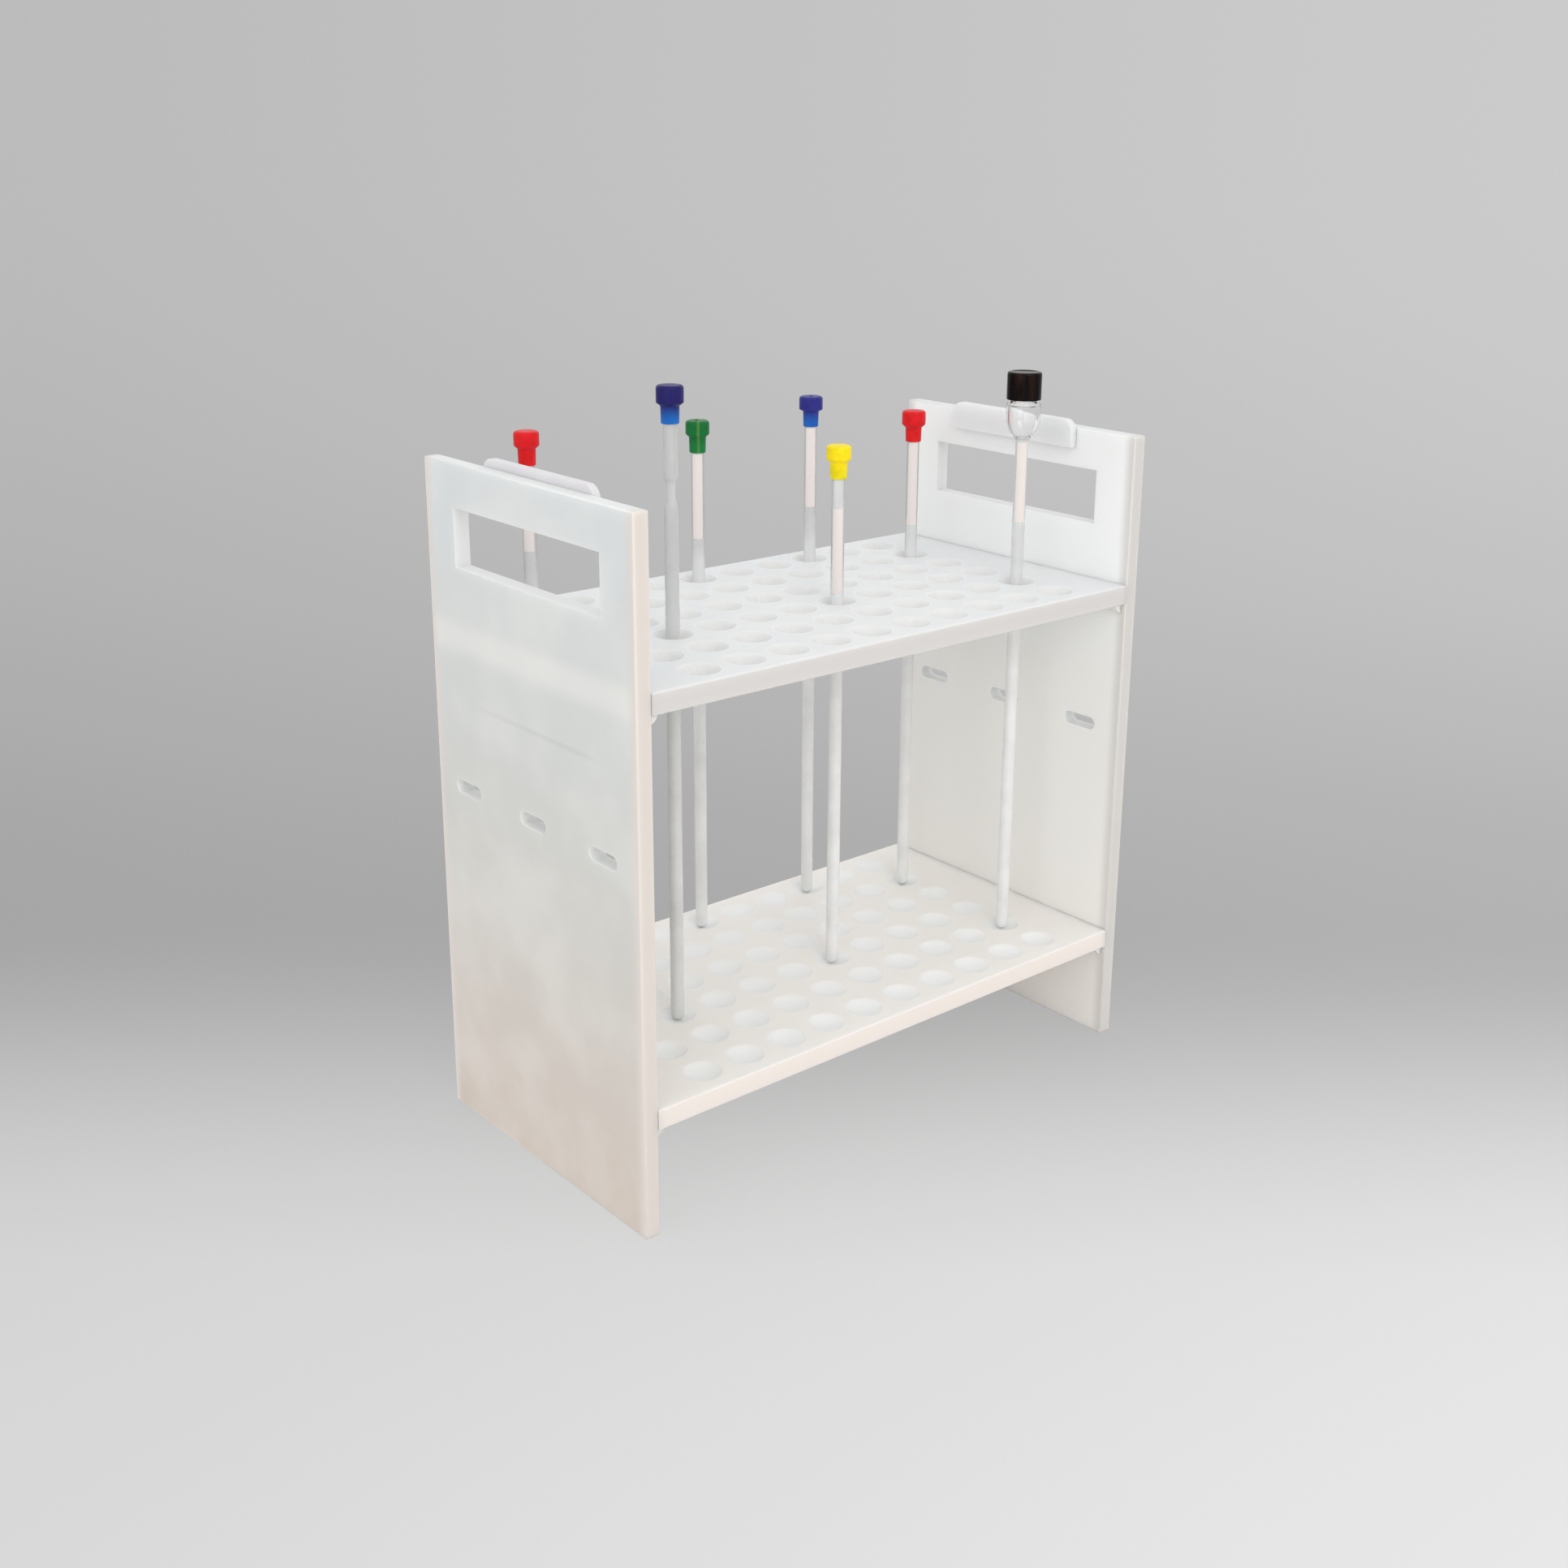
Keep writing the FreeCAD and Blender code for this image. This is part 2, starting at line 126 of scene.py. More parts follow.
# the radii between which the tubes' outer walls stand, the waist's among them
PAINTED_LIGHT_REACH = (1.45 * MM, 2.6 * MM)
# the bore's wall is within this distance of its radius
BORE_BAND = 0.12 * MM
# how much of the outer walls is painted white, as reflections and light, from high above the
# upper shelf to its underside, where more is painted for light in the shelf's shade
PAINTED_LIGHT_LEVELS = (216 * MM, 184 * MM)
PAINTED_LIGHT_AMOUNT = (0.47, 0.84)
# the tall tube is painted white on the bore's wall too, so each of its two layers takes less
WAISTED_PAINTED_LIGHT = (0.4, 0.66)
# the feet are painted white through, up to this level
FOOT_LEVEL = 48 * MM
# the sides of the caps and the tubes that look along the photograph's line of sight
FRONT_TURN = math.radians(-41.4)
# the painted highlight: how far it stands to the side of the cap's middle, its blur and its strength
HIGHLIGHT_OFFSET = 0.6 * MM
HIGHLIGHT_BLUR = (0.8 * MM, 0.1 * MM)
HIGHLIGHT_AMOUNT = 0.4


def reach_from_hole(tree, place):
    """How far a point stands from the axis of the nearest hole, which each tube's axis is too."""
    from_hole = add_node(tree, "VectorMath", [place, FIRST_HOLE], operation="SUBTRACT")
    cell = add_node(tree, "VectorMath", [from_hole, PITCH / 2, -PITCH / 2], operation="WRAP")
    level = add_node(tree, "VectorMath", [cell, (1, 1, 0)], operation="MULTIPLY")
    return add_node(tree, "VectorMath", [level], operation="LENGTH", out="Value")


def faint_dark_line(tree, height, depth):
    """The share of a fine line that runs across the panel and fades towards its ends."""
    off = add_node(tree, "Math", [height, DARK_LINE_LEVEL], operation="SUBTRACT")
    off = add_node(tree, "Math", [off], operation="ABSOLUTE")
    line = add_node(tree, "MapRange", [off, *DARK_LINE_BLUR], **SMOOTH)
    front = add_node(tree, "MapRange", [depth, *DARK_LINE_FRONT, 0.0, DARK_LINE_AMOUNT], **SMOOTH)
    back = add_node(tree, "MapRange", [depth, *DARK_LINE_BACK], **SMOOTH)
    ends = add_node(tree, "Math", [front, back], operation="MULTIPLY")
    return add_node(tree, "Math", [line, ends], operation="MULTIPLY")


def sheet_material(name, faces, tones, edge, front_edge=None, joint=None, frosted_lit_mouths=None):
    """Natural polypropylene sheet, extruded, with sawn edges: milky, waxy and soft in its shade.

    faces is the axis that the skin faces look along; the other faces are sawn edges.
    tones are (height in mm, hex colour) from the foot up. edge is the sawn edges' colour, and
    front_edge that of the front and back ones where it differs; both hold painted light and shade.
    joint is the middle of a shelf in mm, where a paler band is painted for the light that
    the shelf sends through the sheet.
    The last argument is the (inner, outer) radius in mm where the cut mouths turn into the skin:
    they are paler as frosted cut plastic, and with painted light that the mouths catch.
    """
    material, tree, place, normal = start_material(name)
    across, depth, height = add_node(tree, "SeparateXYZ", [place], out=None)
    low, high = tones[0][0], tones[-1][0]
    share = add_node(tree, "MapRange", [height, low * MM, high * MM])
    colour = add_node(tree, "ValToRGB", [share])
    ramp = colour.node.color_ramp
    ramp.interpolation = "B_SPLINE"
    for _ in tones[2:]:
        ramp.elements.new(0.5)
    for element, (level, tone) in zip(ramp.elements, tones):
        element.position = (level - low) / (high - low)
        element.color = hex_colour(tone)
    cloud = add_node(tree, "TexNoise", {"Vector": place, "Scale": 1 / (34 * MM), "Detail": 3.0})
    veil = add_node(tree, "MapRange", [cloud, 0.35, 0.7, 0.0, 0.3], **SMOOTH)
    colour = add_node(tree, "Mix", {FACTOR: veil, LOW: colour, HIGH: hex_colour("#EFEFEC")}, **COLOURS)
    if joint:
        # a paler band painted where the shelf's light comes through the sheet
        off = add_node(tree, "Math", [height, joint * MM], operation="SUBTRACT")
        off = add_node(tree, "Math", [off], operation="ABSOLUTE")
        band = add_node(tree, "MapRange", [off, *JOINT_BLUR, 0.0, JOINT_AMOUNT], **SMOOTH)
        colour = add_node(tree, "Mix", {FACTOR: band, LOW: colour, HIGH: hex_colour("#F4F3F0")},
                          **COLOURS)
        line = faint_dark_line(tree, height, depth)
        colour = add_node(tree, "Mix", {FACTOR: line, LOW: colour, HIGH: hex_colour("#BFC1BE")},
                          **COLOURS)
    if frosted_lit_mouths:
        # the holes' mouths are paler: frosted cut plastic, and painted light that the mouths catch
        reach = reach_from_hole(tree, place)
        spot = add_node(tree, "MapRange", [reach, frosted_lit_mouths[1] * MM, frosted_lit_mouths[0] * MM], **SMOOTH)
        side = add_node(tree, "Math", [across], operation="ABSOLUTE")
        inside = add_node(tree, "Math", [side, GRID_END], operation="LESS_THAN")
        frost_and_light = add_node(tree, "Math", [spot, inside], operation="MULTIPLY")
        colour = add_node(tree, "Mix", {FACTOR: frost_and_light, LOW: colour, HIGH: hex_colour("#F4F6F6")},
                          **COLOURS)
    # sawn edges carry fine saw lines; their colour and the front rim's hold painted light and shade
    facing = add_node(tree, "SeparateXYZ", [normal], out=faces)
    flat = add_node(tree, "Math", [facing], operation="ABSOLUTE")
    sawn = add_node(tree, "MapRange", [flat, 0.95, 0.5], **SMOOTH)
    colour = add_node(tree, "Mix", {FACTOR: sawn, LOW: colour, HIGH: hex_colour(edge)}, **COLOURS)
    if front_edge:
        off = add_node(tree, "Math", [depth], operation="ABSOLUTE")
        rim = add_node(tree, "MapRange", [off, FRONT_EDGE - FRONT_DEPTH, FRONT_EDGE], **SMOOTH)
        colour = add_node(tree, "Mix", {FACTOR: rim, LOW: colour, HIGH: hex_colour(front_edge)},
                          **COLOURS)
    bands = add_node(tree, "TexWave", {
        "Vector": place, "Scale": 1 / (WAVE_BANDS * SAW_STEP), "Distortion": 2.0, "Detail": 2.0,
    }, out="Fac", bands_direction="DIAGONAL")
    saw = add_node(tree, "Math", [bands, sawn], operation="MULTIPLY")
    fine = add_node(tree, "TexNoise", {"Vector": place, "Scale": 1 / (2.5 * MM)})
    relief = add_node(tree, "Math", [saw, SAW_SHARE, fine], operation="MULTIPLY_ADD")
    wear = add_node(tree, "TexNoise", {"Vector": place, "Scale": 1 / (12 * MM)})
    shader = add_node(tree, "BsdfPrincipled", {
        "Base Color": colour,
        "Roughness": add_node(tree, "MapRange", [wear, *NOISE_SPAN, 0.4, 0.52], **SMOOTH),
        "IOR": 1.49,
        "Subsurface Weight": SHEET_SCATTER,
        "Subsurface Radius": (1.0, 0.97, 0.93),
        "Subsurface Scale": SHEET_DEPTH,
        "Normal": add_node(tree, "Bump", {
            "Height": relief, "Distance": SHEET_RELIEF, "Strength": 0.5}),
    })
    end_material(tree, shader)
    return material


def weld_material():
    """Polypropylene welding rod, melted in: smoother and glossier than the sheet, and clearer."""
    material, tree, place, _ = start_material("polypropylene_weld_rod")
    melt = add_node(tree, "TexNoise", {"Vector": place, "Scale": 1 / (4 * MM), "Detail": 3.0})
    shader = add_node(tree, "BsdfPrincipled", {
        "Base Color": add_node(tree, "Mix", {
            FACTOR: melt, LOW: hex_colour("#E2DFDA"), HIGH: hex_colour("#F3F1EE")}, **COLOURS),
        "Roughness": add_node(tree, "MapRange", [melt, *NOISE_SPAN, 0.22, 0.34], **SMOOTH),
        "IOR": 1.49,
        "Subsurface Weight": 0.8,
        "Subsurface Radius": (1.0, 0.97, 0.93),
        "Subsurface Scale": 4 * MM,
        "Normal": add_node(tree, "Bump", {
            "Height": melt, "Distance": 0.1 * MM, "Strength": 0.5}),
    })
    end_material(tree, shader)
    return material


def glass_material(name, painted_light_amount, clear_bore):
    """Borosilicate tubing, drawn: clear, with white reflections and dark edges.

    The tubes' outer walls are partly painted white, as reflections and light on the glass, which
    the wide head of the screw-neck tube lacks. Where clear_bore is false, the bore is painted too.
    """
    material, tree, place, _ = start_material(name)
    ripple = add_node(tree, "TexNoise", {"Vector": place, "Scale": 1 / (16 * MM), "Detail": 3.0})
    reach = reach_from_hole(tree, place)
    past = add_node(tree, "Math", [reach, PAINTED_LIGHT_REACH[0]], operation="GREATER_THAN")
    within = add_node(tree, "Math", [reach, PAINTED_LIGHT_REACH[1]], operation="LESS_THAN")
    outer = add_node(tree, "Math", [past, within], operation="MULTIPLY")
    if clear_bore:
        from_bore = add_node(tree, "Math", [reach, BORE * MM], operation="SUBTRACT")
        from_bore = add_node(tree, "Math", [from_bore], operation="ABSOLUTE")
        off_bore = add_node(tree, "Math", [from_bore, BORE_BAND], operation="GREATER_THAN")
        outer = add_node(tree, "Math", [outer, off_bore], operation="MULTIPLY")
    height = add_node(tree, "SeparateXYZ", [place], out="Z")
    foot = add_node(tree, "Math", [height, FOOT_LEVEL], operation="LESS_THAN")
    outer = add_node(tree, "Math", [outer, foot], operation="MAXIMUM")
    # more of the wall is painted white lower down, as light in the upper shelf's shade
    amount = add_node(tree, "MapRange", [height, *PAINTED_LIGHT_LEVELS, *painted_light_amount], **SMOOTH)
    patches = add_node(tree, "MapRange", [ripple, *NOISE_SPAN, 0.92, 1.06], **SMOOTH)
    uneven = add_node(tree, "Math", [amount, patches], operation="MULTIPLY")
    painted_light = add_node(tree, "Math", [outer, uneven], operation="MULTIPLY")
    shader = add_node(tree, "BsdfPrincipled", {
        "Base Color": add_node(tree, "Mix", {
            FACTOR: outer, LOW: hex_colour("#FFFFFF"), HIGH: hex_colour("#F7F8F8")}, **COLOURS),
        "Roughness": add_node(tree, "MapRange", [ripple, *NOISE_SPAN, 0.02, 0.06], **SMOOTH),
        "IOR": 1.473,
        "Transmission Weight": add_node(tree, "Math", [1.0, painted_light], operation="SUBTRACT"),
        "Normal": add_node(tree, "Bump", {
            "Height": ripple, "Distance": 0.02 * MM, "Strength": 0.2}),
    })
    end_material(tree, shader)
    return material


def marking_material():
    """White marking enamel, screened on the glass and fired: matt and a little warm."""
    material, tree, place, _ = start_material("white_marking_enamel_fired")
    dots = add_node(tree, "TexNoise", {"Vector": place, "Scale": 1 / (0.6 * MM)})
    shader = add_node(tree, "BsdfPrincipled", {
        "Base Color": add_node(tree, "Mix", {
            FACTOR: dots, LOW: hex_colour("#E4DBD8"), HIGH: hex_colour("#EEE7E4")}, **COLOURS),
        "Roughness": add_node(tree, "MapRange", [dots, *NOISE_SPAN, 0.55, 0.7], **SMOOTH),
        "IOR": 1.5,
        "Normal": add_node(tree, "Bump", {
            "Height": dots, "Distance": 0.02 * MM, "Strength": 0.5}),
    })
    end_material(tree, shader)
    return material


def cap_material(name, head, skirt, head_low, skirt_low, painted_highlight=None):
    """Polyethylene, injection moulded: waxy and even, paler where the skirt is thin.

    head_low and skirt_low are the heights in mm between which the head's colour fades.
    The last argument is a painted highlight down the cap's side: its colour, and the cap's axis in mm.
    """
    material, tree, place, _ = start_material(name)
    height = add_node(tree, "SeparateXYZ", [place], out="Z")
    fade = add_node(tree, "MapRange", [height, skirt_low * MM, head_low * MM], **SMOOTH)
    colour = add_node(tree, "Mix", {FACTOR: fade, LOW: hex_colour(skirt), HIGH: hex_colour(head)},
                      **COLOURS)
    if painted_highlight:
        # a painted highlight: a lighter line beside the middle of the side turned to the front
        highlight_colour, x, y = painted_highlight
        off = add_node(tree, "VectorMath", [place, (x * MM, y * MM, 0)], operation="SUBTRACT")
        side = (math.cos(FRONT_TURN), math.sin(FRONT_TURN), 0)
        away = add_node(tree, "VectorMath", [off, side], operation="DOT_PRODUCT", out="Value")
        away = add_node(tree, "Math", [away, HIGHLIGHT_OFFSET], operation="SUBTRACT")
        away = add_node(tree, "Math", [away], operation="ABSOLUTE")
        line = add_node(tree, "MapRange", [away, *HIGHLIGHT_BLUR, 0.0, HIGHLIGHT_AMOUNT], **SMOOTH)
        colour = add_node(tree, "Mix", {FACTOR: line, LOW: colour, HIGH: hex_colour(highlight_colour)},
                          **COLOURS)
    flow = add_node(tree, "TexNoise", {"Vector": place, "Scale": 1 / (3 * MM), "Detail": 3.0})
    value = add_node(tree, "MapRange", [flow, *NOISE_SPAN, 0.9, 1.08], **SMOOTH)
    shader = add_node(tree, "BsdfPrincipled", {
        "Base Color": add_node(tree, "HueSaturation", {"Color": colour, "Value": value}),
        "Roughness": add_node(tree, "MapRange", [flow, *NOISE_SPAN, 0.33, 0.45], **SMOOTH),
        "IOR": 1.51,
        "Specular IOR Level": 0.2,
        "Subsurface Weight": 0.1,
        "Subsurface Radius": (1.0, 0.6, 0.6),
        "Subsurface Scale": 0.6 * MM,
        "Normal": add_node(tree, "Bump", {
            "Height": flow, "Distance": 0.05 * MM, "Strength": 0.4}),
    })
    end_material(tree, shader)
    return material


def black_cap_material():
    """Phenolic resin, compression moulded: hard, glossy and near black, with brown streaks painted in
    as a brown sheen.
    """
    material, tree, place, _ = start_material("black_phenolic_moulded")
    flow = add_node(tree, "Mapping", {"Vector": place, "Scale": (1, 1, 0.12)})
    streak_noise = add_node(tree, "TexNoise", {"Vector": flow, "Scale": 1 / (2.6 * MM)})
    # brown streaks painted for the brown sheen on the glossy black
    painted_sheen = add_node(tree, "MapRange", [streak_noise, 0.42, 0.72], **SMOOTH)
    shader = add_node(tree, "BsdfPrincipled", {
        "Base Color": add_node(tree, "Mix", {
            FACTOR: painted_sheen, LOW: hex_colour("#080505"), HIGH: hex_colour("#331A12")}, **COLOURS),
        "Roughness": add_node(tree, "MapRange", [streak_noise, *NOISE_SPAN, 0.14, 0.22], **SMOOTH),
        "IOR": 1.6,
        "Specular IOR Level": 0.07,
        "Normal": add_node(tree, "Bump", {
            "Height": streak_noise, "Distance": 0.02 * MM, "Strength": 0.3}),
    })
    end_material(tree, shader)
    return material


def liner_material():
    """Rubber disc faced with fluoropolymer film, die cut: white, smooth and slightly waxy."""
    material, tree, place, _ = start_material("fluoropolymer_faced_rubber_die_cut")
    film = add_node(tree, "TexNoise", {"Vector": place, "Scale": 1 / (1.5 * MM)})
    shader = add_node(tree, "BsdfPrincipled", {
        "Base Color": add_node(tree, "Mix", {
            FACTOR: film, LOW: hex_colour("#E6E2DC"), HIGH: hex_colour("#F4F2EE")}, **COLOURS),
        "Roughness": add_node(tree, "MapRange", [film, *NOISE_SPAN, 0.4, 0.5], **SMOOTH),
        "IOR": 1.38,
        "Normal": add_node(tree, "Bump", {
            "Height": film, "Distance": 0.02 * MM, "Strength": 0.4}),
    })
    end_material(tree, shader)
    return material


# Turned pieces

TURN_SEGMENTS = 64
ARC_STEPS = 10
MERGE = 0.0005 * MM


def run_to(mesh, tip, radius, height):
    """The section goes straight on to a radius and a height in mm."""
    tip = bmesh.ops.extrude_vert_indiv(mesh, verts=[tip])["verts"][0]
    tip.co = Vector((radius, 0, height)) * MM
    return tip


def sweep_about(mesh, tip, radius, height, degrees):
    """The section goes on in an arc about a point, to the left for a positive angle."""
    made = bmesh.ops.spin(mesh, geom=[tip], cent=Vector((radius, 0, height)) * MM, axis=(0, -1, 0),
                          angle=math.radians(degrees), steps=ARC_STEPS)
    return next(part for part in made["geom_last"] if isinstance(part, bmesh.types.BMVert))


def turned(section):
    """A closed solid turned about the Z axis from half its section, axis to axis.

    Each entry is (radius, height) for a straight run or (radius, height, degrees) for an arc.
    """
    mesh = bmesh.new()
    first = section[0]
    tip = bmesh.ops.create_vert(mesh, co=Vector((first[0], 0, first[1])) * MM)["vert"][0]
    for entry in section[1:]:
        tip = run_to(mesh, tip, *entry) if len(entry) == 2 else sweep_about(mesh, tip, *entry)
    bmesh.ops.remove_doubles(mesh, verts=mesh.verts, dist=MERGE)
    bmesh.ops.spin(mesh, geom=mesh.verts[:] + mesh.edges[:], cent=(0, 0, 0), axis=(0, 0, 1),
                   angle=math.tau, steps=TURN_SEGMENTS, use_merge=True)
    bmesh.ops.remove_doubles(mesh, verts=mesh.verts, dist=MERGE)
    bmesh.ops.recalc_face_normals(mesh, faces=mesh.faces)
    return mesh


def soften(mesh, width_mm, degrees=35):
    """Round the edges that turn sharper than an angle."""
    sharp = [edge for edge in mesh.edges
             if edge.is_manifold and edge.calc_face_angle() > math.radians(degrees)]
    bmesh.ops.bevel(mesh, geom=sharp, offset=width_mm * MM, offset_type="OFFSET", segments=3,
                    profile=0.5, affect="EDGES", clamp_overlap=True, material=-1)
    bmesh.ops.remove_doubles(mesh, verts=mesh.verts, dist=MERGE)
    return mesh


def place_piece(mesh, name, body, material, at=(0, 0, 0), replaces=(), smooth=30):
    """Make the mesh an object at its place in the frame, riding on its body."""
    bmesh.ops.recalc_face_normals(mesh, faces=mesh.faces)
    bmesh.ops.translate(mesh, verts=mesh.verts, vec=Vector(at) * MM)
    data = bpy.data.meshes.new(name)
    mesh.to_mesh(data)
    mesh.free()
    data.materials.append(material)
    data.shade_smooth()
    data.set_sharp_from_angle(angle=math.radians(smooth))
    piece = bpy.data.objects.new(name, data)
    bpy.context.scene.collection.objects.link(piece)
    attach(piece, body)
    if replaces:
        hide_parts(*replaces)
    return piece


# Rack

# a flat face is larger than this and looks along an axis to this cosine
FLAT_AREA = 4 * MM * MM
SQUARE_ON = 0.9999
# faces that turn less than the first angle lie in one plane, and edges past the second are broken
ONE_PLANE = math.radians(1)
BROKEN_PAST = math.radians(40)
# a point this near to a joint's plane stands in it
IN_JOINT = 0.01 * MM
# where the shelves and the grips meet the panels, in mm from the middle plane
SHELF_END = 113.5


def axis_of(node):
    """Where a round node's axis stands, and its lowest level, in mm."""
    low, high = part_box(node)
    middle = (low + high) / 2
    return Vector((middle.x, middle.y, low.z)) / MM


def broken_edges(node, name, material, width_mm, joined):
    """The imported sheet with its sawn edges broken, but for those that stand against a joint.

    joined is the distance in mm from the rack's middle plane at which it meets its neighbour.
    """
    mesh = bmesh.new()
    mesh.from_mesh(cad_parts[node].data)
    bmesh.ops.remove_doubles(mesh, verts=mesh.verts, dist=MERGE)
    bmesh.ops.dissolve_limit(mesh, angle_limit=ONE_PLANE, verts=mesh.verts, edges=mesh.edges,
                             use_dissolve_boundaries=False)
    free = [edge for edge in mesh.edges
            if edge.is_manifold and edge.calc_face_angle() > BROKEN_PAST
            and any(abs(abs(vert.co.x) - joined * MM) > IN_JOINT for vert in edge.verts)]
    bmesh.ops.bevel(mesh, geom=free, offset=width_mm * MM, offset_type="OFFSET", segments=3,
                    profile=0.5, affect="EDGES", clamp_overlap=True, material=-1)
    piece = place_piece(mesh, name, "rack", material, replaces=(node,), smooth=50)
    for face in piece.data.polygons:
        if face.area > FLAT_AREA and max(abs(part) for part in face.normal) > SQUARE_ON:
            face.use_smooth = False


# the sheets' tones from the foot up, with the floor's warm light painted in towards the foot.
# The right panel's tones are painted paler than the left's, for the light in the bay between them.
LEFT_TONES = ((0, "#D4C8BD"), (45, "#D6CFC8"), (90, "#D3D1CD"), (150, "#D5D8D5"), (251, "#DBE0E3"))
RIGHT_TONES = ((0, "#F4F1EE"), (45, "#F0EEEB"), (150, "#EEEFED"), (190, "#F4F6F6"), (251, "#F5F7F8"))
left_panel = sheet_material("polypropylene_sheet_left_panel", "X", LEFT_TONES, "#E4E6E6",
                            front_edge="#DDD7D2", joint=189.25)
right_panel = sheet_material("polypropylene_sheet_right_panel", "X", RIGHT_TONES, "#E2E4E4",
                             front_edge="#D4D2D0")
# the lower shelf is painted paler and warmer than the upper one, for light in the upper shelf's shade
# and from the floor
upper = sheet_material("polypropylene_sheet_upper_shelf", "Z",
                       ((185, "#E8EAEA"), (193, "#E4E7E9")), "#D6D5D4", frosted_lit_mouths=(5.2, 8.4))
lower = sheet_material("polypropylene_sheet_lower_shelf", "Z",
                       ((39, "#F2EDE8"), (47, "#F5F2EE")), "#EFE8E3", frosted_lit_mouths=(4.5, 8.8))
# the left grip's greyer tones are painted shade; the right grip takes the panel's lit tone
left_grip = sheet_material("polypropylene_sheet_left_grip", "X",
                           ((243, "#DFDDE1"), (254, "#DAD8DD")), "#DBD9DD")
right_grip = sheet_material("polypropylene_sheet_right_grip", "X",
                            ((243, "#EDF0F1"), (254, "#EDF0F1")), "#E4E6E7")
for side, sheet, strip in (("left", left_panel, left_grip), ("right", right_panel, right_grip)):
    broken_edges(f"{side}_end_panel", f"{side}_panel_sheet", sheet, 0.6, 0)
    broken_edges(f"{side}_grip_strip", f"{side}_grip_sheet", strip, 0.5, SHELF_END)
broken_edges("upper_shelf", "upper_shelf_sheet", upper, 0.35, SHELF_END)
broken_edges("lower_shelf", "lower_shelf_sheet", lower, 0.35, SHELF_END)

WELD_RADIUS = 3.5
WELD_LENGTH = 121
WELD_STEPS = 242
# the bead's ripples and its slower drift: their lengths in mm, and how deep they cut its sides
RIPPLE, DRIFT = 2.4, 37
RIPPLE_DEPTH, DRIFT_ACROSS, DRIFT_DOWN = 0.05, 0.06, 0.04


def swell(distance, length):
    """A wave between 0 and 1 that starts at 0."""
    return 0.5 - 0.5 * math.cos(distance * math.tau / length)


def weld_bead(node, side, material):
    """A rod laid in a corner by hand: a quarter round whose face ripples along its length."""
    low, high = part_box(node)
    corner = Vector((low.x if side < 0 else high.x, low.y, high.z)) / MM
    mesh = bmesh.new()
    tip = bmesh.ops.create_vert(mesh, co=(0, 0, 0))["vert"][0]
    tip = run_to(mesh, tip, 0, -WELD_RADIUS)
    sweep_about(mesh, tip, 0, 0, 90)
    bmesh.ops.contextual_create(mesh, geom=mesh.verts[:])
    step = bmesh.ops.extrude_face_region(mesh, geom=mesh.faces[:])
    end = [part for part in step["geom"] if isinstance(part, bmesh.types.BMVert)]
    bmesh.ops.translate(mesh, verts=end, vec=(0, WELD_LENGTH * MM, 0))
    along = [edge for edge in mesh.edges
             if abs(edge.verts[0].co.y - edge.verts[1].co.y) > MM]
    bmesh.ops.subdivide_edges(mesh, edges=along, cuts=WELD_STEPS - 1)
    for vert in mesh.verts:
        reach = math.hypot(vert.co.x, vert.co.z)
        if reach > MERGE:
            wave = swell(vert.co.y / MM, RIPPLE)
            drift = swell(vert.co.y / MM, DRIFT)
            vert.co.x *= 1 - RIPPLE_DEPTH * wave - DRIFT_ACROSS * drift
            vert.co.z *= 1 - RIPPLE_DEPTH * wave - DRIFT_DOWN * drift
    if side > 0:
        bmesh.ops.scale(mesh, verts=mesh.verts, vec=(-1, 1, 1))
    bmesh.ops.recalc_face_normals(mesh, faces=mesh.faces)
    place_piece(mesh, f"{node}_rod", "rack", material, corner, (node,), smooth=50)


weld_rod = weld_material()
for deck in ("upper", "lower"):
    weld_bead(f"{deck}_left_weld", -1, weld_rod)
    weld_bead(f"{deck}_right_weld", 1, weld_rod)


# Glass

# a marking spot: the arc it covers, how far it stands off the glass, its thickness and its steps
MARK_ARC = math.radians(96)
MARK_LIFT, MARK_THICK = 0.03, 0.02
MARK_STEPS = 18
# how far a tube's rim is fire-polished round
RIM_ROUNDING = 0.08
glass = glass_material("borosilicate_tube_drawn", PAINTED_LIGHT_AMOUNT, clear_bore=True)
waisted_glass = glass_material("borosilicate_tube_drawn_in", WAISTED_PAINTED_LIGHT, clear_bore=False)
enamel = marking_material()

# by name: the glass's length, and the marking spot's low and high end above the foot
STRAIGHT_TUBES = {
    "left_red": (208.9, (169.5, 200.5)),
    "green": (205.7, (164, 197)),
    "yellow": (202.3, (151, 183)),
    "short_blue": (210.2, (169.6, 201.6)),
    "right_red": (203.5, (160.6, 194.6)),
}


def foot_to_rim(walls):
    """A tube's section: the inside from the foot's bottom up, the walls, and the outside down."""
    return [(0, WALL), (0, TUBE, 90), *walls, (TUBE, TUBE), (0, TUBE, -90)]


def straight_tube(name, length, spot):
    """A tube with a round foot and a polished rim, and its marking spot."""
    node = f"{name}_tube"
    at = axis_of(node)
    mesh = turned(foot_to_rim([(BORE, length), (TUBE, length)]))
    soften(mesh, RIM_ROUNDING, degrees=60)
    place_piece(mesh, f"{node}_glass", "rack", glass, at, (node,), smooth=50)
    marking_spot(name, at, spot)


